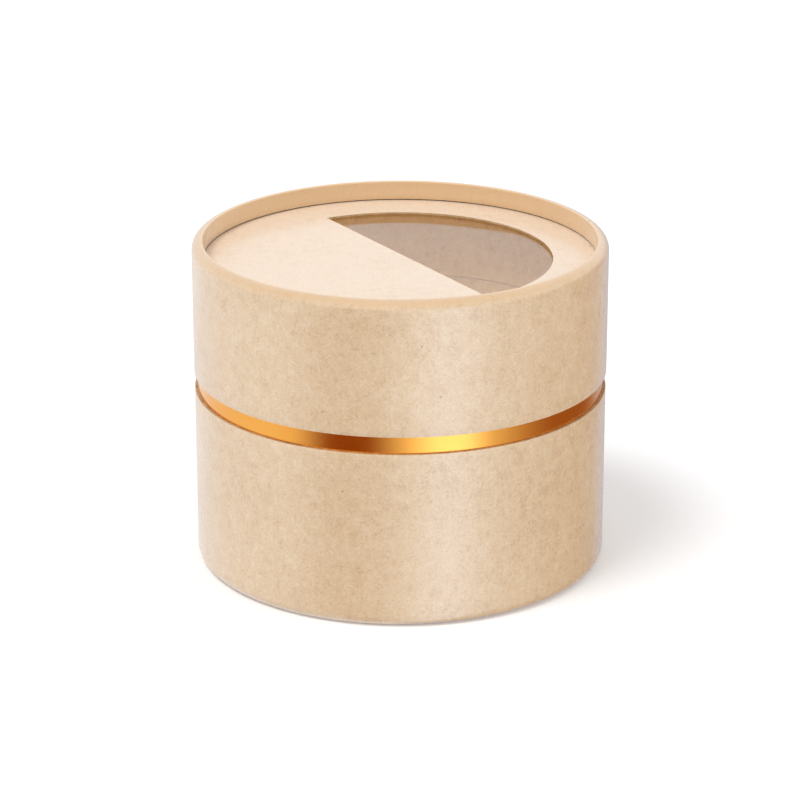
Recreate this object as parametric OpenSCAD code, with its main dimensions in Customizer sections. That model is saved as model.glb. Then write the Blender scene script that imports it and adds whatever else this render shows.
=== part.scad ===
// Round gift box of wound board and kraft paper.
// The base holds a glued neck, and the windowed lid slides over the neck and lands on its top edge.
// Millimetres, +Z up. The origin is the centre of the face that the box stands on.

/* [Overall] */
// Outside diameter of the lid
lid_d = 120; // [100:1:150]
// Height of the closed box
box_h = 96; // [85:1:130]
// Height of the lid's shell
lid_h = 39; // [32:1:50]
// Height of the gap between lid and base, where the neck shows
reveal_h = 5.2; // [1:0.1:9]

/* [Walls] */
// Wall of the lid's outer board tube
lid_wall = 0.7; // [0.5:0.1:1.5]
// Wall of the base's outer board tube
base_wall = 0.7; // [0.5:0.1:1.5]
// Wall of the neck's board tube, which also sets the bore of the lid's sleeve
neck_wall = 2; // [1.5:0.1:3]
// Thickness of the kraft paper round the outside
wrap_t = 0.2; // [0.1:0.05:0.3]
// Thickness of the kraft paper inside and on the discs
lining_t = 0.15; // [0.1:0.05:0.3]
// Thickness of the gold paper round the neck
foil_t = 0.1; // [0.1:0.05:0.3]
// Running gap between the neck and the lid's skirt
slip_gap = 0.1; // [0.05:0.05:0.3]

/* [Neck] */
// Height of the neck above the edge of the base
neck_rise = 14.6; // [11:0.1:18]
// Rounding of the neck's top outer edge
neck_round = 0.6; // [0.4:0.1:1]
// How far the linings stay back from the ends that meet, which leaves a fine seam line
lining_back = 0.15; // [0.1:0.05:0.5]

/* [Lid top] */
// Depth of the recess above the top
top_recess = 5.9; // [4:0.1:9]
// Rounding of the rim's outer edge
rim_round = 2.8; // [1:0.1:3]
// Rounding of the paper where it folds into a recess
fold_round = 0.4; // [0.35:0.05:0.5]
// Height of the shadow gap between the rim and the top
shadow_gap = 0.6; // [0.2:0.1:1]
// Thickness of the card of the top
top_t = 0.5; // [0.4:0.1:2]

/* [Window] */
// Width of the top left between the window's round edge and the rim
window_margin = 12.7; // [8:0.1:30]
// Distance of the window's straight edge from the axis
window_offset = 1.2; // [0:0.1:10]
// Direction that the window faces, in degrees from +X towards +Y
window_turn = 31.6; // [0:0.1:360]
// How far the film reaches past the window
film_lap = 3; // [2:0.5:4]
// How far the tape stays back from the window's edge
tape_back = 0.5; // [0:0.1:1]
// Thickness of the film
film_t = 0.2; // [0.1:0.05:0.5]
// Thickness of the tape
tape_t = 0.1; // [0.05:0.05:0.2]

/* [Foot] */
// Depth of the recess below the bottom
foot_recess = 4; // [3.5:0.1:8]
// Rounding of the foot's outer edge
foot_round = 3.2; // [1:0.1:3.4]
// Wall of the ring that carries the bottom
foot_wall = 3.4; // [3:0.1:6]
// Thickness of the bottom board
bottom_t = 1.5; // [0.8:0.1:3]

/* [Hidden] */
$fn = 180;
cut_margin = 1;
kraft_colour = [0.87, 0.76, 0.61];
top_colour = [0.96, 0.89, 0.8];
board_colour = [0.73, 0.61, 0.47];
gold_colour = [0.86, 0.6, 0.2];
film_colour = [0.8, 0.84, 0.84, 0.4];

// Radii of the lid, from the outside in
lid_r = lid_d / 2;
lid_tube_r = lid_r - wrap_t;
lid_bore_r = lid_tube_r - lid_wall;

// Radii of the neck and of the bore that it shares with the lid's sleeve
neck_r = lid_bore_r - slip_gap;
neck_tube_r = neck_r - foil_t;
bore_r = neck_tube_r - neck_wall;
clear_r = bore_r - lining_t;

// Radii of the base, from the neck out
base_tube_r = neck_r + base_wall;
base_r = base_tube_r + wrap_t;

// Heights of the base
base_top_z = box_h - lid_h - reveal_h;
bottom_z = foot_recess + lining_t;
floor_z = bottom_z + bottom_t;
neck_top_z = base_top_z + neck_rise;

// Heights of the lid
lid_z = box_h - lid_h;
top_face_z = box_h - top_recess;
top_disc_z = top_face_z - lining_t - top_t;
rim_z = top_face_z + shadow_gap;

// Rims of the lid and of the foot, finished with paper
recess_r = bore_r - wrap_t;
window_r = recess_r - window_margin;
foot_bore_r = neck_r - foot_wall;
foot_recess_r = foot_bore_r - wrap_t;
rim_fillet = min(rim_round, lid_r - recess_r - fold_round);
foot_fillet = min(foot_round, base_r - foot_recess_r - fold_round);
board_fold = fold_round - wrap_t;

// Rectangle in the section plane, from radius r_in to r_out
module band(r_in, r_out, z_low, z_high) {
    translate([r_in, z_low]) square([r_out - r_in, z_high - z_low]);
}

// What a rounded top corner at radius r takes away: side is 1 on the outside and -1 on the bore side
module corner_waste(r, z, round_r, side) {
    translate([r - side * round_r, z - round_r])
        mirror([side > 0 ? 0 : 1, 0])
            difference() {
                square(round_r + cut_margin);
                circle(r = round_r);
            }
}

// Section of a wall whose top has a large outer and a small inner rounding
module capped_section(r_in, r_out, z_low, z_high, outer_round, inner_round) {
    difference() {
        band(r_in, r_out, z_low, z_high);
        corner_waste(r_out, z_high, outer_round, 1);
        if (inner_round > 0) corner_waste(r_in, z_high, inner_round, -1);
    }
}

// Tube with square ends
module tube(r_in, r_out, z_low, z_high) {
    rotate_extrude() band(r_in, r_out, z_low, z_high);
}

// Flat disc with its lower face at z
module disc(r, z, t) {
    translate([0, 0, z]) cylinder(r = r, h = t);
}

// Outline of the window, grown by lap on every side
module window_outline(lap) {
    reach = window_r + lap;
    rotate(window_turn)
        intersection() {
            circle(r = reach);
            translate([window_offset - lap, -reach - cut_margin])
                square([reach + cut_margin, 2 * (reach + cut_margin)]);
        }
}

// Round plate with the window cut through it
module windowed_disc(r, z, t) {
    translate([0, 0, z])
        linear_extrude(height = t)
            difference() {
                circle(r = r);
                window_outline(0);
            }
}

// Section of all the board under the lid's paper, rim included
module lid_board_section() {
    capped_section(bore_r, lid_tube_r, lid_z, box_h - wrap_t, rim_fillet - wrap_t, board_fold);
}

// Section of all the board under the base's paper, drawn with the foot at its top
module base_board_section() {
    capped_section(foot_bore_r, base_tube_r, -base_top_z, -wrap_t, foot_fillet - wrap_t, board_fold);
}

module base_tube() {
    color(board_colour)
        rotate_extrude()
            mirror([0, 1])
                intersection() {
                    base_board_section();
                    band(neck_r, base_r, -base_top_z - cut_margin, cut_margin);
                }
}

module base_wrap() {
    color(kraft_colour)
        rotate_extrude()
            mirror([0, 1])
                difference() {
                    capped_section(foot_recess_r, base_r, -base_top_z, 0, foot_fillet, fold_round);
                    capped_section(foot_bore_r, base_tube_r, -base_top_z - cut_margin, -wrap_t,
                        foot_fillet - wrap_t, board_fold);
                    band(foot_recess_r - cut_margin, base_tube_r, -base_top_z - cut_margin, -foot_recess);
                }
}

module foot_ring() {
    color(board_colour)
        rotate_extrude()
            mirror([0, 1])
                intersection() {
                    base_board_section();
                    band(foot_bore_r - cut_margin, neck_r, -foot_recess, cut_margin);
                }
}

module bottom_disc() {
    color(board_colour) disc(neck_r, bottom_z, bottom_t);
}

module bottom_paper() {
    color(kraft_colour) disc(neck_r, foot_recess, lining_t);
}

module floor_paper() {
    color(kraft_colour) disc(clear_r, floor_z, lining_t);
}

module neck_tube() {
    color(board_colour)
        rotate_extrude()
            capped_section(bore_r, neck_tube_r, floor_z, neck_top_z - foil_t, neck_round - foil_t, 0);
}

module neck_foil() {
    color(gold_colour)
        rotate_extrude()
            difference() {
                capped_section(bore_r, neck_r, floor_z, neck_top_z, neck_round, 0);
                capped_section(bore_r - cut_margin, neck_tube_r, floor_z - cut_margin, neck_top_z - foil_t,
                    neck_round - foil_t, 0);
            }
}

module neck_lining() {
    color(kraft_colour) tube(clear_r, bore_r, floor_z, neck_top_z - lining_back);
}

module lid_tube() {
    color(board_colour)
        rotate_extrude()
            intersection() {
                lid_board_section();
                band(lid_bore_r, lid_r, lid_z - cut_margin, box_h + cut_margin);
            }
}

module lid_wrap() {
    color(kraft_colour)
        rotate_extrude()
            difference() {
                capped_section(recess_r, lid_r, lid_z, box_h, rim_fillet, fold_round);
                capped_section(bore_r, lid_tube_r, lid_z - cut_margin, box_h - wrap_t,
                    rim_fillet - wrap_t, board_fold);
                band(recess_r - cut_margin, lid_tube_r, lid_z - cut_margin, rim_z);
            }
}

module rim_ring() {
    color(board_colour)
        rotate_extrude()
            intersection() {
                lid_board_section();
                band(bore_r - cut_margin, lid_bore_r, rim_z, box_h + cut_margin);
            }
}

module lid_sleeve() {
    color(board_colour) tube(bore_r, lid_bore_r, neck_top_z, top_disc_z);
}

module sleeve_lining() {
    color(kraft_colour) tube(clear_r, bore_r, neck_top_z + lining_back, top_disc_z);
}

module top_disc() {
    color(board_colour) windowed_disc(lid_bore_r, top_disc_z, top_t);
}

module top_paper() {
    color(top_colour) windowed_disc(lid_bore_r, top_disc_z + top_t, lining_t);
}

module film_tape() {
    color(film_colour)
        translate([0, 0, top_disc_z - tape_t])
            linear_extrude(height = tape_t)
                difference() {
                    window_outline(film_lap);
                    window_outline(tape_back);
                }
}

module window_film() {
    color(film_colour)
        translate([0, 0, top_disc_z - tape_t - film_t])
            linear_extrude(height = film_t)
                window_outline(film_lap);
}

base_tube();
base_wrap();
foot_ring();
bottom_disc();
bottom_paper();
floor_paper();
neck_tube();
neck_foil();
neck_lining();
lid_tube();
lid_wrap();
rim_ring();
lid_sleeve();
sleeve_lining();
top_disc();
top_paper();
film_tape();
window_film();
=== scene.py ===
"""Dresses a round kraft gift box: papers, gold neck, wound board, film window, studio light and camera."""

from math import atan2, cos, hypot, pi, radians, sin, sqrt

import bmesh
import bpy
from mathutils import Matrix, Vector, noise


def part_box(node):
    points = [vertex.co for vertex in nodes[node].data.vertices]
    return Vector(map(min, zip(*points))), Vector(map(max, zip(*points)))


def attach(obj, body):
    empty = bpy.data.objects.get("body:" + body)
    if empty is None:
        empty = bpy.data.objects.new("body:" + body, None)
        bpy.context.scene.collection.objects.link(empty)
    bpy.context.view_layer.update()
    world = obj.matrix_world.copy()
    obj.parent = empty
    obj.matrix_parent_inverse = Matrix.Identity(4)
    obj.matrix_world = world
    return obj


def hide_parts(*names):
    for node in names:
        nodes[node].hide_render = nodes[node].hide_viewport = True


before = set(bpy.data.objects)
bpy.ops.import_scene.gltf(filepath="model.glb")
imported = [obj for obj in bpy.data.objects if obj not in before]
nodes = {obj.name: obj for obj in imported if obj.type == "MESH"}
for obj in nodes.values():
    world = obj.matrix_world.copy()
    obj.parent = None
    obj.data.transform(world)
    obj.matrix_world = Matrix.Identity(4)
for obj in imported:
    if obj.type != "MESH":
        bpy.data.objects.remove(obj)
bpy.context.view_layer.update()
MM = 0.001


def outer_radius(node):
    """Largest distance of a node's points from the box's axis."""
    return max(hypot(v.co.x, v.co.y) for v in nodes[node].data.vertices)


def inner_radius(node):
    """Smallest distance of a node's points from the box's axis."""
    return min(hypot(v.co.x, v.co.y) for v in nodes[node].data.vertices)


def low(node):
    """Level of a node's underside."""
    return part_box(node)[0].z


def high(node):
    """Level of a node's upper side."""
    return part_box(node)[1].z


# Sizes read from the frame
lid_r = outer_radius("lid_wrap")
base_r = outer_radius("base_wrap")
recess_r = inner_radius("lid_wrap")
foot_recess_r = inner_radius("base_wrap")
neck_r = outer_radius("neck_foil")
bore_r = outer_radius("neck_lining")
clear_r = outer_radius("floor_paper")
top_r = outer_radius("top_paper")
bottom_r = outer_radius("bottom_paper")
lid_low = low("lid_wrap")
lid_top = high("lid_wrap")
rim_low = low("rim_ring")
base_top = high("base_wrap")
foot_recess_top = low("bottom_paper")
wrap_t = lid_r - outer_radius("lid_tube")
foil_t = neck_r - outer_radius("neck_tube")
lining_t = bore_r - clear_r
film_t = high("window_film") - low("window_film")

# Roundings of the folded papers
rim_round = 2.8 * MM
fold_round = 0.4 * MM
foot_round = 3.2 * MM
neck_round = 0.6 * MM

# How far the lid's wrap hangs below the rim ring into the shadow gap
wrap_edge = 0.3 * MM

# Window in the lid's top
film_lap = 3 * MM
tape_back = 0.5 * MM
window_r = outer_radius("window_film") - film_lap
window_offset = 1.2 * MM
window_turn = radians(31.6)

# Fineness of the round pieces
columns = 384
arc_steps = 10
longest_step = 2.5 * MM
window_arc_steps = 120
window_edge_steps = 60
film_rings = 36
cut_round = 0.03 * MM

# Patches in the pulp of kraft paper, from wide to fine
drift_size = 22 * MM
mottle_size = 3.2 * MM
grain_size = 1.0 * MM

# Relief of the papers, in millimetres
tooth_height = 0.012
fibre_height = 0.004
swell_height = 0.05
overlap_height = 0.12
pleat_height = 0.1

# How far the end of each rolled paper is glued over its start: the wraps, then the linings and the gold paper
wrap_overlap = 11 * MM
lining_overlap = 8 * MM

# Hand-wrapped unevenness: how deep it goes, and how far apart its swells are
wrap_unevenness = 0.04 * MM
gold_unevenness = 0.03 * MM
unevenness_size = 22 * MM

# Slack in the middle of the window's film
film_sag = 0.1 * MM

# Wound board: thickness of two plies, and how far one turn of the winding climbs
ply_pair = 0.32 * MM
winding_climb = 62 * MM

# White table
table_half = 6.0
table_glow = 0.16

# Light on the box where nothing is mirrored
ambient_light = (0.7, 0.7, 0.71, 1.0)

# What gloss mirrors low round the table.
# Each card has its middle and half width in degrees from the camera's side, its blur and its colour.
mirrored_wall = (0.92, 0.9, 0.92, 1.0)
brown_card = (-29, 23, 14, (0.25, 0.07, 0.01, 1.0))
bright_strip = (28, 16, 12, (1.65, 1.9, 2.3, 1.0))
umber_card = (110, 44, 32, (0.32, 0.14, 0.06, 1.0))
grey_card = (165, 20, 8, (0.5, 0.5, 0.6, 1.0))

# Key light, fill light and the glow inside the box
key_place = (-0.5, -0.4, 1.3)
key_strength = 1.55
key_spread = radians(24)
key_colour = (1.0, 0.99, 0.975)
fill_place = (1.1, -0.5, 0.3)
fill_target = (0, 0, 0.05)
fill_size = 0.8
fill_power = 3.0
fill_colour = (1.0, 0.99, 0.98)
glow_height = 0.6 * lid_low
glow_size = 12 * MM
glow_power = 0.045
glow_colour = (1.0, 0.94, 0.62)

# Camera
camera_place = (0.0, -0.8819, 0.3703)
camera_tilt = radians(69.81)
camera_lens = 144.43
camera_sensor = 36.0
camera_shift = -0.00035


# Node building


def put(tree, socket, value):
    """Feeds a node's input from another node's output or with a fixed value."""
    if isinstance(value, bpy.types.NodeSocket):
        tree.links.new(value, socket)
    else:
        socket.default_value = value


def add(tree, kind, inputs=None, **options):
    """Adds a node with its options and inputs."""
    node = tree.nodes.new(kind)
    for name, value in options.items():
        setattr(node, name, value)
    for name, value in (inputs or {}).items():
        put(tree, node.inputs[name], value)
    return node


def calc(tree, operation, *terms):
    """Adds a sum of one step on plain numbers."""
    node = add(tree, "ShaderNodeMath", operation=operation)
    for place, term in enumerate(terms):
        put(tree, node.inputs[place], term)
    return node.outputs[0]


def vector_calc(tree, operation, *terms):
    """Adds a sum of one step on vectors."""
    node = add(tree, "ShaderNodeVectorMath", operation=operation)
    for place, term in enumerate(terms):
        put(tree, node.inputs[place], term)
    return node.outputs[0]


def ease(tree, value, start, end, result_start=0.0, result_end=1.0):
    """Turns a range of a value into a smooth step from one result to another."""
    node = add(
        tree,
        "ShaderNodeMapRange",
        {0: value, 1: start, 2: end, 3: result_start, 4: result_end},
        interpolation_type="SMOOTHSTEP",
    )
    return node.outputs[0]


def tint(tree, amount, first, second):
    """Mixes two colours by an amount."""
    node = add(tree, "ShaderNodeMix", data_type="RGBA")
    put(tree, node.inputs[0], amount)
    for place, colour in ((6, first), (7, second)):
        put(tree, node.inputs[place], colour)
    return node.outputs[2]


def cloud(tree, where, size, detail=2.0, roughness=0.5, seed=0.0):
    """Adds soft noise whose patches are about the given size."""
    return add(
        tree,
        "ShaderNodeTexNoise",
        {"Vector": where, "W": seed, "Scale": 1 / size, "Detail": detail, "Roughness": roughness},
        noise_dimensions="4D",
    ).outputs["Fac"]


def linear(red, green, blue):
    """Colour as a paint chart gives it, turned into the light it sends back."""
    light = [c / 12.92 if c <= 0.04045 else ((c + 0.055) / 1.055) ** 2.4 for c in (red, green, blue)]
    return (*light, 1.0)


def new_material(name):
    """Material with an empty tree."""
    material = bpy.data.materials.new(name)
    material.use_nodes = True
    material.node_tree.nodes.clear()
    return material


def finish_material(tree, surface):
    """Connects the finished surface."""
    output = add(tree, "ShaderNodeOutputMaterial")
    tree.links.new(surface, output.inputs["Surface"])


# Shared patterns


def make_fibre_group():
    """Fibres scattered over a flat sheet, one to a cell, each short, straight and turned its own way."""
    group = bpy.data.node_groups.new("Paper fibres", "ShaderNodeTree")
    for name, kind in (
        ("Sheet", "NodeSocketVector"),
        ("Spacing", "NodeSocketFloat"),
        ("Length", "NodeSocketFloat"),
        ("Width", "NodeSocketFloat"),
        ("Shift", "NodeSocketFloat"),
        ("Share", "NodeSocketFloat"),
    ):
        group.interface.new_socket(name, in_out="INPUT", socket_type=kind)
    group.interface.new_socket("Fibre", in_out="OUTPUT", socket_type="NodeSocketFloat")
    given = add(group, "NodeGroupInput").outputs

    # A slight waver keeps the fibres from looking ruled
    waver = add(
        group,
        "ShaderNodeTexNoise",
        {"Vector": given["Sheet"], "Scale": 900.0, "Detail": 0.0},
        noise_dimensions="3D",
    ).outputs["Color"]
    waver = vector_calc(group, "SUBTRACT", waver, (0.5, 0.5, 0.5))
    waver = add(group, "ShaderNodeVectorMath", {0: waver, "Scale": 0.35 * MM}, operation="SCALE").outputs[0]
    sheet = vector_calc(group, "ADD", given["Sheet"], waver)
    shift = add(group, "ShaderNodeCombineXYZ", {"X": given["Shift"], "Y": given["Shift"]}).outputs[0]
    sheet = vector_calc(group, "ADD", sheet, shift)

    cells = add(
        group,
        "ShaderNodeTexVoronoi",
        {"Vector": sheet, "Scale": calc(group, "DIVIDE", 1.0, given["Spacing"])},
        voronoi_dimensions="2D",
    )
    chance = add(group, "ShaderNodeSeparateColor", {"Color": cells.outputs["Color"]}).outputs
    from_middle = vector_calc(group, "SUBTRACT", sheet, cells.outputs["Position"])
    turned = add(
        group,
        "ShaderNodeVectorRotate",
        {"Vector": from_middle, "Angle": calc(group, "MULTIPLY", chance["Red"], pi)},
        rotation_type="Z_AXIS",
    ).outputs[0]
    place = add(group, "ShaderNodeSeparateXYZ", {"Vector": turned}).outputs
    along = calc(group, "DIVIDE", calc(group, "ABSOLUTE", place["X"]), given["Length"])
    across = calc(group, "DIVIDE", calc(group, "ABSOLUTE", place["Y"]), given["Width"])
    line = calc(group, "MULTIPLY", ease(group, along, 0.5, 0.3), ease(group, across, 0.6, 0.2))
    kept = calc(group, "LESS_THAN", chance["Green"], given["Share"])
    strength = calc(group, "MULTIPLY", kept, calc(group, "ADD", 0.4, chance["Blue"]))
    result = add(group, "NodeGroupOutput")
    put(group, result.inputs["Fibre"], calc(group, "MULTIPLY", line, strength))
    return group


fibre_group = make_fibre_group()


def fibres(tree, sheet, spacing, length, width, shift, share):
    """Adds a layer of fibres; sizes are in millimetres."""
    node = add(tree, "ShaderNodeGroup", node_tree=fibre_group)
    for name, value in (
        ("Sheet", sheet),
        ("Spacing", spacing * MM),
        ("Length", length * MM),
        ("Width", width * MM),
        ("Shift", shift),
        ("Share", share),
    ):
        put(tree, node.inputs[name], value)
    return node.outputs["Fibre"]


def specks(tree, where, spacing, size, share):
    """Adds scattered specks of bark; sizes are in millimetres."""
    cells = add(
        tree,
        "ShaderNodeTexVoronoi",
        {"Vector": where, "Scale": 1 / (spacing * MM)},
        voronoi_dimensions="3D",
    )
    chance = add(tree, "ShaderNodeSeparateColor", {"Color": cells.outputs["Color"]}).outputs
    reach = size / spacing
    dot = ease(tree, cells.outputs["Distance"], reach, reach * 0.4)
    return calc(tree, "MULTIPLY", dot, calc(tree, "LESS_THAN", chance["Red"], share))


# Papers


def sheet_place(tree):
    """Place on the flat sheet before it was rolled: along the turn, and along the wall."""
    return add(tree, "ShaderNodeUVMap", uv_map="sheet").outputs["UV"]


def own_place(tree):
    """Place on the piece itself."""
    return add(tree, "ShaderNodeTexCoord").outputs["Object"]


def kraft_colours(tree, where, sheet, body, pale, deep, contrast):
    """Colour of kraft paper: clouds from the pulp, pale and dark fibres, and specks of bark."""
    drift = cloud(tree, where, drift_size, detail=2.0, seed=1.0)
    mottle = cloud(tree, where, mottle_size, detail=3.0, roughness=0.55, seed=2.0)
    grain = cloud(tree, where, grain_size, detail=2.0, roughness=0.6, seed=3.0)
    shade = calc(tree, "ADD", calc(tree, "MULTIPLY", drift, 0.22), calc(tree, "MULTIPLY", mottle, 0.4))
    shade = calc(tree, "ADD", shade, calc(tree, "MULTIPLY", grain, 0.38))
    colour = tint(tree, ease(tree, shade, 0.38, 0.5, contrast, 0.0), body, deep)
    colour = tint(tree, ease(tree, shade, 0.5, 0.62, 0.0, contrast), colour, pale)
    dark = calc(
        tree,
        "ADD",
        fibres(tree, sheet, 1.5, 1.9, 0.22, 0.31, 0.8),
        fibres(tree, sheet, 0.8, 1.0, 0.14, 0.87, 0.7),
    )
    light = calc(
        tree,
        "ADD",
        fibres(tree, sheet, 1.7, 2.2, 0.24, 1.43, 0.8),
        fibres(tree, sheet, 0.7, 0.9, 0.13, 2.17, 0.7),
    )
    colour = tint(tree, calc(tree, "MULTIPLY", dark, contrast * 0.8), colour, deep)
    colour = tint(tree, calc(tree, "MULTIPLY", light, contrast * 0.9), colour, pale)
    bark = tint(tree, 0.55, deep, linear(0.36, 0.24, 0.15))
    flecks = calc(tree, "MULTIPLY", specks(tree, where, 5.5, 0.42, 0.16), 0.75)
    colour = tint(tree, flecks, colour, bark)
    return colour, calc(tree, "SUBTRACT", light, dark)


def paper_bump(tree, where, relief, *folds):
    """Surface of the paper: tooth, raised fibres, and folds given as heights."""
    tooth = cloud(tree, where, 0.35 * MM, detail=2.0, seed=5.0)
    swell = cloud(tree, where, 9 * MM, detail=2.0, seed=6.0)
    height = calc(tree, "MULTIPLY", tooth, tooth_height)
    height = calc(tree, "ADD", height, calc(tree, "MULTIPLY", relief, fibre_height))
    height = calc(tree, "ADD", height, calc(tree, "MULTIPLY", swell, swell_height))
    for fold in folds:
        height = calc(tree, "ADD", height, fold)
    bump = add(tree, "ShaderNodeBump", {"Strength": 0.7, "Distance": MM, "Height": height})
    return bump.outputs["Normal"]


def overlap_step(tree, sheet, overlap):
    """Height of the edge where a rolled paper's end is glued over its start, in millimetres."""
    turn = add(tree, "ShaderNodeSeparateXYZ", {"Vector": sheet}).outputs["X"]
    return ease(tree, turn, overlap, overlap + 0.12 * MM, overlap_height, 0.0)


def turned_in_pleats(tree, sheet, from_length):
    """Height of the small creases that gather where the wrap is turned into a recess."""
    place = add(tree, "ShaderNodeSeparateXYZ", {"Vector": sheet}).outputs
    cells = add(
        tree,
        "ShaderNodeTexVoronoi",
        {"W": place["X"], "Scale": 1 / (7.5 * MM)},
        voronoi_dimensions="1D",
    )
    chance = add(tree, "ShaderNodeSeparateColor", {"Color": cells.outputs["Color"]}).outputs
    line = ease(tree, cells.outputs["Distance"], 0.07, 0.0)
    line = calc(tree, "MULTIPLY", line, calc(tree, "MULTIPLY", chance["Green"], pleat_height))
    return calc(tree, "MULTIPLY", line, ease(tree, place["Y"], from_length, from_length + 2 * MM))


def paint_rim_shade_and_recess_light(tree, sheet, colour, rim_start):
    """Paints shade over the rim's rounding by deepening the paper's tone, and paints warm light down the
    recess by turning the tone paler and even there.
    """
    run = add(tree, "ShaderNodeSeparateXYZ", {"Vector": sheet}).outputs["Y"]
    # Painted shade: a darker tone over the rim's rounding
    painted_rim_shade = ease(tree, run, rim_start, rim_start + 2.5 * MM, 0.0, 0.7)
    colour = tint(tree, painted_rim_shade, colour, linear(0.81, 0.665, 0.49))
    # Painted light: a paler, warmer tone down the recess wall
    painted_recess_light = ease(tree, run, rim_start + 3.5 * MM, rim_start + 5 * MM, 0.0, 0.8)
    return tint(tree, painted_recess_light, colour, linear(0.9, 0.755, 0.57))


def make_wrap_paper(name, rim_start=None):
    """Kraft paper round the outside, satin side out; from rim_start up the sheet it turns over a rim."""
    material = new_material(name)
    tree = material.node_tree
    sheet = sheet_place(tree)
    where = own_place(tree)
    colour, relief = kraft_colours(
        tree,
        where,
        sheet,
        body=linear(0.868, 0.755, 0.605),
        pale=linear(0.93, 0.85, 0.74),
        deep=linear(0.735, 0.595, 0.435),
        contrast=0.42,
    )
    folds = [overlap_step(tree, sheet, wrap_overlap)]
    if rim_start is not None:
        # Painted shade over the rim's rounding and painted light down the recess
        colour = paint_rim_shade_and_recess_light(tree, sheet, colour, rim_start)
        folds.append(turned_in_pleats(tree, sheet, rim_start + rim_round))
    polish = cloud(tree, where, 6 * MM, detail=3.0, seed=8.0)
    shader = add(
        tree,
        "ShaderNodeBsdfPrincipled",
        {
            "Base Color": colour,
            "Roughness": ease(tree, polish, 0.35, 0.65, 0.27, 0.34),
            "Specular IOR Level": 1.0,
            "Coat Weight": 0.8,
            "Coat Roughness": 0.25,
            "Sheen Weight": 0.12,
            "Sheen Roughness": 0.4,
            "Normal": paper_bump(tree, where, relief, *folds),
        },
    )
    finish_material(tree, shader.outputs[0])
    return material


def make_flat_paper(name, body, pale, deep, roughness, shine, contrast):
    """Kraft paper of a flat disc."""
    material = new_material(name)
    tree = material.node_tree
    where = own_place(tree)
    colour, relief = kraft_colours(tree, where, where, body, pale, deep, contrast)
    polish = cloud(tree, where, 6 * MM, detail=3.0, seed=8.0)
    shader = add(
        tree,
        "ShaderNodeBsdfPrincipled",
        {
            "Base Color": colour,
            "Roughness": ease(tree, polish, 0.35, 0.65, roughness - 0.04, roughness + 0.04),
            "Specular IOR Level": shine,
            "Normal": paper_bump(tree, where, relief),
        },
    )
    finish_material(tree, shader.outputs[0])
    return material


def make_lining_paper(name):
    """Plain unpolished kraft paper of the linings, with its grain along the rolled sheet."""
    material = new_material(name)
    tree = material.node_tree
    sheet = sheet_place(tree)
    where = own_place(tree)
    colour, relief = kraft_colours(
        tree,
        where,
        sheet,
        body=linear(0.86, 0.73, 0.56),
        pale=linear(0.91, 0.81, 0.67),
        deep=linear(0.72, 0.58, 0.42),
        contrast=0.5,
    )
    shader = add(
        tree,
        "ShaderNodeBsdfPrincipled",
        {
            "Base Color": colour,
            "Roughness": ease(tree, relief, -0.6, 0.6, 0.62, 0.5),
            "Specular IOR Level": 0.4,
            "Normal": paper_bump(tree, where, relief, overlap_step(tree, sheet, lining_overlap)),
        },
    )
    finish_material(tree, shader.outputs[0])
    return material


def make_gold_paper():
    """Gold metallised paper: a thin metal layer that follows the paper's tooth, under clear lacquer."""
    material = new_material("Gold metallised paper")
    tree = material.node_tree
    where = own_place(tree)
    sheet = sheet_place(tree)
    flow = cloud(tree, where, 14 * MM, detail=2.0, seed=11.0)
    fleck = cloud(tree, where, 0.5 * MM, detail=2.0, seed=12.0)
    colour = tint(tree, ease(tree, flow, 0.3, 0.7), linear(0.99, 0.695, 0.29), linear(1.0, 0.715, 0.32))
    stretched = add(
        tree, "ShaderNodeMapping", {"Vector": sheet, "Scale": (1 / (9 * MM), 1 / (0.25 * MM), 1.0)}
    ).outputs[0]
    rolled = add(
        tree, "ShaderNodeTexNoise", {"Vector": stretched, "Scale": 1.0, "Detail": 2.0}
    ).outputs["Fac"]
    height = calc(tree, "ADD", calc(tree, "MULTIPLY", rolled, 0.004), calc(tree, "MULTIPLY", fleck, 0.003))
    height = calc(tree, "ADD", height, overlap_step(tree, sheet, lining_overlap))
    bump = add(tree, "ShaderNodeBump", {"Strength": 0.6, "Distance": MM, "Height": height})
    shader = add(
        tree,
        "ShaderNodeBsdfPrincipled",
        {
            "Base Color": colour,
            "Metallic": 1.0,
            "Roughness": ease(tree, fleck, 0.3, 0.7, 0.17, 0.23),
            "Coat Weight": 0.25,
            "Coat Roughness": 0.1,
            "Normal": bump.outputs["Normal"],
        },
    )
    finish_material(tree, shader.outputs[0])
    return material


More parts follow.
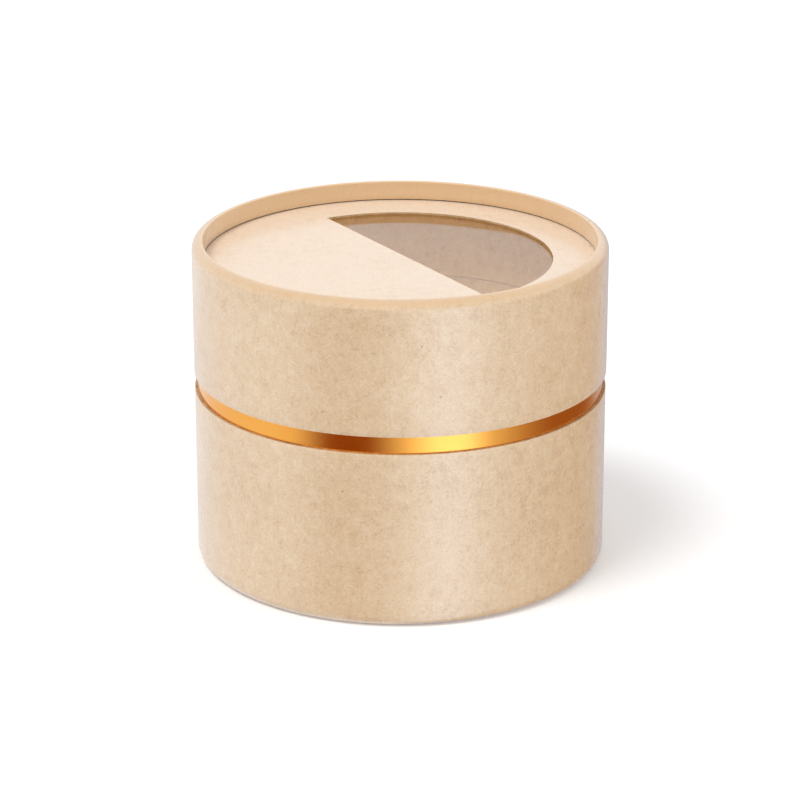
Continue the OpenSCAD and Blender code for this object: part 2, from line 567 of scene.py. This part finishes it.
def make_wound_board():
    """Grey-brown tube board: plies show as fine lines on every cut end, and the winding as slanted seams."""
    material = new_material("Wound grey board")
    tree = material.node_tree
    where = own_place(tree)
    place = add(tree, "ShaderNodeSeparateXYZ", {"Vector": where}).outputs
    square_x = calc(tree, "MULTIPLY", place["X"], place["X"])
    square_y = calc(tree, "MULTIPLY", place["Y"], place["Y"])
    radius = calc(tree, "SQRT", calc(tree, "ADD", square_x, square_y))
    waver = calc(tree, "MULTIPLY", cloud(tree, where, 5 * MM, seed=21.0), 0.15 * MM)
    ply = calc(tree, "PINGPONG", calc(tree, "ADD", radius, waver), ply_pair / 2)
    ply = calc(tree, "DIVIDE", ply, ply_pair / 2)
    turn = calc(tree, "DIVIDE", calc(tree, "ARCTAN2", place["Y"], place["X"]), 2 * pi)
    slant = calc(tree, "ADD", calc(tree, "DIVIDE", place["Z"], winding_climb), turn)
    butt = calc(tree, "ABSOLUTE", calc(tree, "SUBTRACT", calc(tree, "FRACT", slant), 0.5))
    seam = ease(tree, butt, 0.012, 0.004)
    pulp = cloud(tree, where, 1.6 * MM, detail=5.0, roughness=0.65, seed=22.0)
    colour = tint(tree, ease(tree, pulp, 0.3, 0.7), linear(0.66, 0.54, 0.41), linear(0.8, 0.69, 0.55))
    colour = tint(tree, ease(tree, ply, 0.0, 0.35, 0.45, 0.0), colour, linear(0.5, 0.4, 0.3))
    colour = tint(tree, calc(tree, "MULTIPLY", seam, 0.5), colour, linear(0.52, 0.42, 0.32))
    flecks = calc(tree, "MULTIPLY", specks(tree, where, 3.0, 0.3, 0.25), 0.6)
    colour = tint(tree, flecks, colour, linear(0.35, 0.27, 0.2))
    height = calc(tree, "ADD", calc(tree, "MULTIPLY", pulp, 0.06), calc(tree, "MULTIPLY", ply, 0.03))
    height = calc(tree, "SUBTRACT", height, calc(tree, "MULTIPLY", seam, 0.05))
    bump = add(tree, "ShaderNodeBump", {"Strength": 0.8, "Distance": MM, "Height": height})
    shader = add(
        tree,
        "ShaderNodeBsdfPrincipled",
        {
            "Base Color": colour,
            "Roughness": ease(tree, pulp, 0.3, 0.7, 0.95, 0.8),
            "Specular IOR Level": 0.25,
            "Normal": bump.outputs["Normal"],
        },
    )
    finish_material(tree, shader.outputs[0])
    return material


# Film and tape


def mirror_share(tree, straight_on):
    """Share of light that one face of a clear plastic sheet sends back, more at a slant."""
    facing = add(tree, "ShaderNodeLayerWeight", {"Blend": 0.5}).outputs["Facing"]
    slant = calc(tree, "POWER", facing, 5.0)
    return calc(tree, "ADD", calc(tree, "MULTIPLY", slant, 1 - straight_on), straight_on)


def make_clear_film():
    """Clear polyester film: light passes straight through, and each face mirrors a share of it."""
    material = new_material("Clear window film")
    tree = material.node_tree
    where = own_place(tree)
    haze = cloud(tree, where, 12 * MM, detail=2.0, seed=31.0)
    rub = cloud(tree, where, 1.5 * MM, detail=4.0, seed=32.0)
    through = add(
        tree,
        "ShaderNodeBsdfTransparent",
        {"Color": tint(tree, haze, linear(0.985, 0.985, 0.98), linear(0.995, 0.995, 0.99))},
    ).outputs[0]
    gloss = add(
        tree, "ShaderNodeBsdfGlossy", {"Roughness": ease(tree, rub, 0.3, 0.8, 0.02, 0.05)}
    ).outputs[0]
    mixed = add(tree, "ShaderNodeMixShader", {0: mirror_share(tree, 0.04), 1: through, 2: gloss})
    finish_material(tree, mixed.outputs[0])
    return material


def make_clear_tape():
    """Double-sided tape: a milky adhesive strip with small trapped bubbles."""
    material = new_material("Clear mounting tape")
    tree = material.node_tree
    where = own_place(tree)
    patch = cloud(tree, where, 3 * MM, detail=4.0, seed=41.0)
    bubbles = specks(tree, where, 1.4, 0.3, 0.3)
    colour = tint(tree, patch, linear(0.86, 0.83, 0.74), linear(0.93, 0.91, 0.84))
    milk = add(
        tree,
        "ShaderNodeBsdfPrincipled",
        {"Base Color": colour, "Roughness": ease(tree, patch, 0.3, 0.7, 0.3, 0.5)},
    ).outputs[0]
    through = add(tree, "ShaderNodeBsdfTransparent", {"Color": linear(0.97, 0.96, 0.92)}).outputs[0]
    cover = calc(tree, "ADD", ease(tree, patch, 0.3, 0.7, 0.45, 0.65), calc(tree, "MULTIPLY", bubbles, 0.3))
    mixed = add(tree, "ShaderNodeMixShader", {0: cover, 1: through, 2: milk})
    finish_material(tree, mixed.outputs[0])
    return material


# Rolled paper


def make_rolled_sheet_tree():
    """Geometry tree that folds a long strip of paper to a section and rolls it round the box's axis.

    Each corner is given as radius, height and rounding.
    The section runs up the outside, or inwards over a top.
    """
    tree = bpy.data.node_groups.new("Rolled sheet", "GeometryNodeTree")
    face = tree.interface
    for name in ("First corner", "Second corner", "Third corner", "Fourth corner"):
        face.new_socket(name, in_out="INPUT", socket_type="NodeSocketVector")
    for name in ("Corners", "Columns", "Arc steps"):
        face.new_socket(name, in_out="INPUT", socket_type="NodeSocketInt")
    for name in ("Longest step", "Sheet radius", "Seam turn", "Unevenness", "Unevenness size", "Seed"):
        face.new_socket(name, in_out="INPUT", socket_type="NodeSocketFloat")
    face.new_socket("Paper", in_out="INPUT", socket_type="NodeSocketMaterial")
    face.new_socket("Geometry", in_out="OUTPUT", socket_type="NodeSocketGeometry")
    given = add(tree, "NodeGroupInput").outputs

    # Section of the sheet, with its corners rounded and its straight runs divided
    index = add(tree, "GeometryNodeInputIndex").outputs[0]
    corner = add(tree, "GeometryNodeIndexSwitch", data_type="VECTOR")
    corner.index_switch_items.new()
    corner.index_switch_items.new()
    put(tree, corner.inputs["Index"], index)
    for place, name in enumerate(("First corner", "Second corner", "Third corner", "Fourth corner")):
        put(tree, corner.inputs[place + 1], given[name])
    part = add(tree, "ShaderNodeSeparateXYZ", {"Vector": corner.outputs[0]}).outputs
    at_corner = add(tree, "ShaderNodeCombineXYZ", {"X": part["X"], "Z": part["Y"]}).outputs[0]
    dots = add(tree, "GeometryNodePoints", {"Count": given["Corners"], "Position": at_corner})
    section = add(tree, "GeometryNodePointsToCurves", {"Points": dots.outputs[0]})
    section = add(
        tree,
        "GeometryNodeFilletCurve",
        {
            "Curve": section.outputs[0],
            "Count": given["Arc steps"],
            "Radius": part["Z"],
            "Limit Radius": True,
        },
        mode="POLY",
    )
    position = add(tree, "GeometryNodeInputPosition").outputs[0]
    following = add(
        tree,
        "GeometryNodeFieldAtIndex",
        {"Value": position, "Index": calc(tree, "ADD", index, 1.0)},
        data_type="FLOAT_VECTOR",
        domain="POINT",
    ).outputs[0]
    apart = add(tree, "ShaderNodeVectorMath", {0: position, 1: following}, operation="DISTANCE")
    cuts = calc(tree, "FLOOR", calc(tree, "DIVIDE", apart.outputs["Value"], given["Longest step"]))
    section = add(tree, "GeometryNodeSubdivideCurve", {"Curve": section.outputs[0], "Cuts": cuts}).outputs[0]
    rows = add(
        tree, "GeometryNodeAttributeDomainSize", {"Geometry": section}, component="CURVE"
    ).outputs["Point Count"]

    # Flat strip with one row for each point of the section
    strip = add(
        tree,
        "GeometryNodeMeshGrid",
        {
            "Size X": 1.0,
            "Size Y": 1.0,
            "Vertices X": calc(tree, "ADD", given["Columns"], 1.0),
            "Vertices Y": rows,
        },
    ).outputs["Mesh"]
    flat = add(tree, "ShaderNodeSeparateXYZ", {"Vector": position}).outputs
    turn = calc(tree, "MULTIPLY", calc(tree, "ADD", flat["X"], 0.5), 2 * pi)
    row = calc(
        tree,
        "ROUND",
        calc(tree, "MULTIPLY", calc(tree, "ADD", flat["Y"], 0.5), calc(tree, "SUBTRACT", rows, 1.0)),
    )
    on_section = add(
        tree,
        "GeometryNodeSampleIndex",
        {"Geometry": section, "Value": position, "Index": row},
        data_type="FLOAT_VECTOR",
        domain="POINT",
    ).outputs[0]
    length = add(tree, "GeometryNodeSplineParameter").outputs["Length"]
    along = add(
        tree,
        "GeometryNodeSampleIndex",
        {"Geometry": section, "Value": length, "Index": row},
        data_type="FLOAT",
        domain="POINT",
    ).outputs[0]
    place = add(
        tree,
        "ShaderNodeCombineXYZ",
        {"X": calc(tree, "MULTIPLY", turn, given["Sheet radius"]), "Y": along},
    ).outputs[0]
    strip = add(
        tree,
        "GeometryNodeStoreNamedAttribute",
        {"Geometry": strip, "Name": "sheet", "Value": place},
        data_type="FLOAT2",
        domain="CORNER",
    ).outputs[0]

    # Rolled round the axis, with the slight unevenness of hand-wrapped paper
    point = add(tree, "ShaderNodeSeparateXYZ", {"Vector": on_section}).outputs
    angle = calc(tree, "ADD", turn, given["Seam turn"])
    ahead = calc(tree, "COSINE", angle)
    aside = calc(tree, "SINE", angle)
    on_wall = add(
        tree,
        "ShaderNodeCombineXYZ",
        {
            "X": calc(tree, "MULTIPLY", point["X"], ahead),
            "Y": calc(tree, "MULTIPLY", point["X"], aside),
            "Z": point["Z"],
        },
    ).outputs[0]
    swell = add(
        tree,
        "ShaderNodeTexNoise",
        {
            "Vector": on_wall,
            "W": given["Seed"],
            "Scale": calc(tree, "DIVIDE", 1.0, given["Unevenness size"]),
            "Detail": 1.0,
        },
        noise_dimensions="4D",
    ).outputs["Fac"]
    inwards = calc(tree, "MULTIPLY", swell, given["Unevenness"])
    radius = calc(tree, "MAXIMUM", calc(tree, "SUBTRACT", point["X"], inwards), 0.0)
    rolled = add(
        tree,
        "ShaderNodeCombineXYZ",
        {
            "X": calc(tree, "MULTIPLY", radius, ahead),
            "Y": calc(tree, "MULTIPLY", radius, aside),
            "Z": point["Z"],
        },
    ).outputs[0]
    strip = add(tree, "GeometryNodeSetPosition", {"Geometry": strip, "Position": rolled}).outputs[0]
    closed = add(tree, "GeometryNodeMergeByDistance", {"Geometry": strip, "Distance": 0.002 * MM})
    smooth = add(tree, "GeometryNodeSetShadeSmooth", {"Geometry": closed.outputs[0]})
    real = add(tree, "GeometryNodeRealizeInstances", {"Geometry": smooth.outputs[0]})
    painted = add(tree, "GeometryNodeSetMaterial", {"Geometry": real.outputs[0], "Material": given["Paper"]})
    result = add(tree, "NodeGroupOutput")
    tree.links.new(painted.outputs[0], result.inputs["Geometry"])
    return tree


rolled_sheet_tree = make_rolled_sheet_tree()


def bake(piece):
    """Turns a piece's live modifiers into its plain mesh."""
    depsgraph = bpy.context.evaluated_depsgraph_get()
    made = bpy.data.meshes.new_from_object(piece.evaluated_get(depsgraph), depsgraph=depsgraph)
    made.name = piece.name
    piece.modifiers.clear()
    piece.data = made


def give_thickness(piece, thickness):
    """Thickens a sheet towards its hidden side and softens its cut edges."""
    wall = piece.modifiers.new("Thickness", "SOLIDIFY")
    wall.thickness = thickness
    wall.offset = -1
    wall.use_even_offset = True
    edge = piece.modifiers.new("Cut edge", "BEVEL")
    edge.width = min(cut_round, thickness / 4)
    edge.segments = 2
    edge.limit_method = "ANGLE"
    edge.angle_limit = radians(60)
    bake(piece)
    piece.data.set_sharp_from_angle(angle=radians(50))


def link_piece(name, mesh):
    """Puts a mesh into the scene as a piece."""
    piece = bpy.data.objects.new(name, mesh)
    bpy.context.scene.collection.objects.link(piece)
    return piece


def roll_sheet(name, corners, thickness, paper, seam_turn, unevenness, seed):
    """Rolls a sheet of paper through the given corners of its section."""
    piece = link_piece(name, bpy.data.meshes.new(name))
    roll = piece.modifiers.new("Roll", "NODES")
    roll.node_group = rolled_sheet_tree
    sockets = {
        item.name: item.identifier
        for item in rolled_sheet_tree.interface.items_tree
        if item.in_out == "INPUT"
    }
    for socket, corner in zip(("First corner", "Second corner", "Third corner", "Fourth corner"), corners):
        roll[sockets[socket]] = corner
    for socket, value in (
        ("Corners", len(corners)),
        ("Columns", columns),
        ("Arc steps", arc_steps),
        ("Longest step", longest_step),
        ("Sheet radius", max(radius for radius, height, rounding in corners)),
        ("Seam turn", seam_turn),
        ("Unevenness", unevenness),
        ("Unevenness size", unevenness_size),
        ("Seed", seed),
        ("Paper", paper),
    ):
        roll[sockets[socket]] = value
    bake(piece)
    give_thickness(piece, thickness)
    return piece


# Windowed discs and film


def arc_points(radius, start, turn, count):
    """Points of an arc round the axis, from its start up to the last before its end."""
    angles = [start + turn * step / count for step in range(count)]
    return [(radius * cos(angle), radius * sin(angle)) for angle in angles]


def window_points(lap):
    """Outline of the window, grown by lap: its arc counter-clockwise, then back along its straight edge."""
    reach = window_r + lap
    straight = window_offset - lap
    half = sqrt(reach**2 - straight**2)
    spread = atan2(half, straight)
    arc = arc_points(reach, -spread, 2 * spread, window_arc_steps)
    edge = [(straight, half - 2 * half * step / window_edge_steps) for step in range(window_edge_steps)]
    turned_x = cos(window_turn)
    turned_y = sin(window_turn)
    return [(x * turned_x - y * turned_y, x * turned_y + y * turned_x) for x, y in arc + edge]


def cut_plate(name, outlines, top, thickness, paper):
    """Cuts a flat plate between an outer and an inner outline."""
    shape = bmesh.new()
    for outline in outlines:
        corners = [shape.verts.new((x, y, top)) for x, y in outline]
        for place, corner in enumerate(corners):
            shape.edges.new((corner, corners[place - 1]))
    bmesh.ops.triangle_fill(shape, use_beauty=True, edges=shape.edges, normal=(0, 0, 1))
    for side in shape.faces:
        if side.normal.z < 0:
            side.normal_flip()
    mesh = bpy.data.meshes.new(name)
    shape.to_mesh(mesh)
    shape.free()
    mesh.materials.append(paper)
    mesh.shade_smooth()
    piece = link_piece(name, mesh)
    give_thickness(piece, thickness)
    # The flat faces shade flat and the cut edges shade round
    for side in piece.data.polygons:
        side.use_smooth = abs(side.normal.z) < 0.999
    return piece


def stretch_film(name, top, thickness, sag, film):
    """Lays a film over the window's outline, flat where it is stuck and slightly slack between."""
    outline = window_points(film_lap)
    middle = Vector((sum(x for x, y in outline), sum(y for x, y in outline))) / len(outline)
    shape = bmesh.new()
    centre = shape.verts.new((middle.x, middle.y, top - sag))
    loops = []
    for ring in range(1, film_rings + 1):
        share = ring / film_rings
        slack = 1 - share**4
        loop = []
        for x, y in outline:
            spot = middle.lerp(Vector((x, y)), share)
            ripple = noise.noise(Vector((spot.x, spot.y, 0)) / (17 * MM))
            loop.append(shape.verts.new((spot.x, spot.y, top - sag * slack * (1 + 0.6 * ripple))))
        loops.append(loop)
    for place in range(len(outline)):
        shape.faces.new((centre, loops[0][place - 1], loops[0][place]))
        for inner, outer in zip(loops, loops[1:]):
            shape.faces.new((inner[place - 1], outer[place - 1], outer[place], inner[place]))
    mesh = bpy.data.meshes.new(name)
    shape.to_mesh(mesh)
    shape.free()
    mesh.materials.append(film)
    mesh.shade_smooth()
    piece = link_piece(name, mesh)
    wall = piece.modifiers.new("Thickness", "SOLIDIFY")
    wall.thickness = thickness
    wall.offset = -1
    bake(piece)
    piece.data.set_sharp_from_angle(angle=radians(50))
    return piece


# The box


def settle(piece, body, node):
    """Hands a finished piece to the frame: parents it to what it moves with and hides the part it stands for.
    """
    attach(piece, body)
    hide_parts(node)


def make_lid_papers():
    """Wrap of the lid, paper of its top and lining of its sleeve."""
    wrap = roll_sheet(
        "lid_kraft_wrap",
        (
            (lid_r, lid_low, 0.0),
            (lid_r, lid_top, rim_round),
            (recess_r, lid_top, fold_round),
            (recess_r, rim_low - wrap_edge, 0.0),
        ),
        wrap_t,
        make_wrap_paper("Kraft wrap of the lid", rim_start=lid_top - lid_low - rim_round),
        seam_turn=radians(97),
        unevenness=wrap_unevenness,
        seed=1.0,
    )
    settle(wrap, "lid", "lid_wrap")
    top = cut_plate(
        "lid_top_paper",
        (arc_points(top_r, 0.0, 2 * pi, columns), window_points(0.0)),
        high("top_paper"),
        lining_t,
        make_flat_paper(
            "Pale kraft of the top",
            body=linear(0.91, 0.82, 0.725),
            pale=linear(0.94, 0.885, 0.82),
            deep=linear(0.8, 0.69, 0.57),
            roughness=0.21,
            shine=1.0,
            contrast=0.3,
        ),
    )
    settle(top, "lid", "top_paper")
    lining = roll_sheet(
        "sleeve_kraft_lining",
        ((clear_r, high("sleeve_lining"), 0.0), (clear_r, low("sleeve_lining"), 0.0)),
        lining_t,
        make_lining_paper("Kraft lining of the sleeve"),
        seam_turn=radians(250),
        unevenness=0.0,
        seed=2.0,
    )
    settle(lining, "lid", "sleeve_lining")


def make_window():
    """Film behind the window and the tape that holds it."""
    film = stretch_film(
        "window_clear_film",
        high("window_film"),
        film_t,
        film_sag,
        make_clear_film(),
    )
    settle(film, "lid", "window_film")
    tape = cut_plate(
        "window_mounting_tape",
        (window_points(film_lap), window_points(tape_back)),
        high("film_tape"),
        high("film_tape") - low("film_tape"),
        make_clear_tape(),
    )
    settle(tape, "lid", "film_tape")


def make_base_papers():
    """Wrap of the base, papers of its bottom and floor, and lining of the neck."""
    wrap = roll_sheet(
        "base_kraft_wrap",
        (
            (foot_recess_r, foot_recess_top, 0.0),
            (foot_recess_r, 0.0, fold_round),
            (base_r, 0.0, foot_round),
            (base_r, base_top, 0.0),
        ),
        wrap_t,
        make_wrap_paper("Kraft wrap of the base"),
        seam_turn=radians(112),
        unevenness=wrap_unevenness,
        seed=3.0,
    )
    settle(wrap, "base", "base_wrap")
    plain = make_flat_paper(
        "Plain kraft of the bottom",
        body=linear(0.8, 0.68, 0.53),
        pale=linear(0.87, 0.77, 0.64),
        deep=linear(0.65, 0.52, 0.38),
        roughness=0.55,
        shine=0.4,
        contrast=0.5,
    )
    bottom = roll_sheet(
        "bottom_kraft_paper",
        ((0.0, low("bottom_paper"), 0.0), (bottom_r, low("bottom_paper"), 0.0)),
        lining_t,
        plain,
        seam_turn=0.0,
        unevenness=0.0,
        seed=4.0,
    )
    settle(bottom, "base", "bottom_paper")
    floor = roll_sheet(
        "floor_kraft_paper",
        ((clear_r, high("floor_paper"), 0.0), (0.0, high("floor_paper"), 0.0)),
        lining_t,
        plain,
        seam_turn=0.0,
        unevenness=0.0,
        seed=5.0,
    )
    settle(floor, "base", "floor_paper")
    lining = roll_sheet(
        "neck_kraft_lining",
        ((clear_r, high("neck_lining"), 0.0), (clear_r, low("neck_lining"), 0.0)),
        lining_t,
        make_lining_paper("Kraft lining of the neck"),
        seam_turn=radians(235),
        unevenness=0.0,
        seed=6.0,
    )
    settle(lining, "base", "neck_lining")


def make_gold_neck():
    """Gold paper up the outside of the neck and over its top edge."""
    foil = roll_sheet(
        "neck_gold_paper",
        (
            (neck_r, low("neck_foil"), 0.0),
            (neck_r, high("neck_foil"), neck_round),
            (bore_r, high("neck_foil"), 0.0),
        ),
        foil_t,
        make_gold_paper(),
        seam_turn=radians(80),
        unevenness=gold_unevenness,
        seed=7.0,
    )
    settle(foil, "base", "neck_foil")


def dress_boards():
    """Gives the boards their finish."""
    board = make_wound_board()
    for node in (
        "base_tube",
        "foot_ring",
        "bottom_disc",
        "neck_tube",
        "lid_tube",
        "rim_ring",
        "lid_sleeve",
        "top_disc",
    ):
        for place in nodes[node].material_slots:
            place.material = board


# Table, light and camera


def make_table():
    """White table that keeps the box's shadow and stays out of mirrors."""
    mesh = bpy.data.meshes.new("white_table")
    ways = ((-1, -1), (1, -1), (1, 1), (-1, 1))
    corners = [(across * table_half, along * table_half, 0) for across, along in ways]
    mesh.from_pydata(corners, [], [(0, 1, 2, 3)])
    material = new_material("White table top")
    tree = material.node_tree
    light_path = add(tree, "ShaderNodeLightPath").outputs
    seen = calc(tree, "MAXIMUM", light_path["Is Camera Ray"], light_path["Is Transmission Ray"])
    grain = cloud(tree, own_place(tree), 0.4, detail=2.0)
    colour = tint(tree, grain, linear(0.915, 0.915, 0.92), linear(0.925, 0.925, 0.93))
    matte = add(tree, "ShaderNodeBsdfDiffuse", {"Color": colour}).outputs[0]
    strength = calc(tree, "MULTIPLY", seen, table_glow)
    glow = add(tree, "ShaderNodeEmission", {"Color": (1, 1, 1, 1), "Strength": strength}).outputs[0]
    both = add(tree, "ShaderNodeAddShader", {0: matte, 1: glow})
    finish_material(tree, both.outputs[0])
    mesh.materials.append(material)
    table = link_piece("white_table", mesh)
    table.visible_glossy = False


def between(tree, angle, middle, half_width, blur):
    """One inside a span of compass angles in degrees, falling to nothing past its blurred edges."""
    away = calc(tree, "ABSOLUTE", calc(tree, "SUBTRACT", angle, middle))
    return ease(tree, away, half_width + blur, half_width - blur)


def make_studio():
    """Even white studio whose mirror image holds a bright strip and dark cards low round the table."""
    world = bpy.data.worlds.new("Studio")
    world.use_nodes = True
    bpy.context.scene.world = world
    tree = world.node_tree
    tree.nodes.clear()
    direction = add(tree, "ShaderNodeTexCoord").outputs["Generated"]
    part = add(tree, "ShaderNodeSeparateXYZ", {"Vector": direction}).outputs
    compass = calc(tree, "ARCTAN2", part["X"], calc(tree, "MULTIPLY", part["Y"], -1.0))
    compass = calc(tree, "MULTIPLY", compass, 180 / pi)

    # The cards stand low round the table, and above them the studio is white
    mirrored = mirrored_wall
    for middle, half_width, blur, colour in (brown_card, bright_strip, umber_card, grey_card):
        mirrored = tint(tree, between(tree, compass, middle, half_width, blur), mirrored, colour)
    mirrored = tint(tree, ease(tree, part["Z"], 0.05, 0.2), mirrored, (1.0, 1.0, 1.0, 1.0))

    light_path = add(tree, "ShaderNodeLightPath").outputs
    seen = calc(tree, "MAXIMUM", light_path["Is Camera Ray"], light_path["Is Transmission Ray"])
    colour = tint(tree, light_path["Is Glossy Ray"], ambient_light, mirrored)
    colour = tint(tree, seen, colour, (1.0, 1.0, 1.0, 1.0))
    background = add(tree, "ShaderNodeBackground", {"Color": colour, "Strength": 1.0})
    output = add(tree, "ShaderNodeOutputWorld")
    tree.links.new(background.outputs[0], output.inputs["Surface"])
    world.cycles.sampling_method = "NONE"


def aim(thing, target):
    """Turns a lamp towards a point."""
    thing.rotation_euler = (Vector(target) - thing.location).to_track_quat("-Z", "Y").to_euler()


def place_lamp(data, place):
    """Puts a lamp where it stands and keeps it out of mirrors."""
    lamp = bpy.data.objects.new(data.name, data)
    lamp.location = place
    lamp.visible_glossy = False
    bpy.context.scene.collection.objects.link(lamp)
    return lamp


def make_key():
    """Even key light from high on the front left."""
    data = bpy.data.lights.new("Key", "SUN")
    data.energy = key_strength
    data.angle = key_spread
    data.color = key_colour
    aim(place_lamp(data, key_place), (0, 0, 0))


def make_fill():
    """Round soft lamp low on the right, aimed at the box."""
    data = bpy.data.lights.new("Fill", "AREA")
    data.shape = "DISK"
    data.size = fill_size
    data.energy = fill_power
    data.color = fill_colour
    aim(place_lamp(data, fill_place), fill_target)


def make_glow():
    """Glow of the light inside the box."""
    data = bpy.data.lights.new("Glow", "POINT")
    data.energy = glow_power
    data.color = glow_colour
    data.shadow_soft_size = glow_size
    place_lamp(data, (0, 0, glow_height)).visible_camera = False


def make_camera():
    """Camera at the height and distance from which the box is seen."""
    data = bpy.data.cameras.new("Camera")
    data.lens = camera_lens
    data.sensor_width = camera_sensor
    data.shift_x = camera_shift
    camera = bpy.data.objects.new("Camera", data)
    camera.location = camera_place
    camera.rotation_euler = (camera_tilt, 0.0, 0.0)
    bpy.context.scene.collection.objects.link(camera)
    bpy.context.scene.camera = camera


make_lid_papers()
make_window()
make_base_papers()
make_gold_neck()
dress_boards()
make_table()
make_studio()
make_key()
make_fill()
make_glow()
make_camera()

bpy.context.scene.view_settings.view_transform = "Standard"
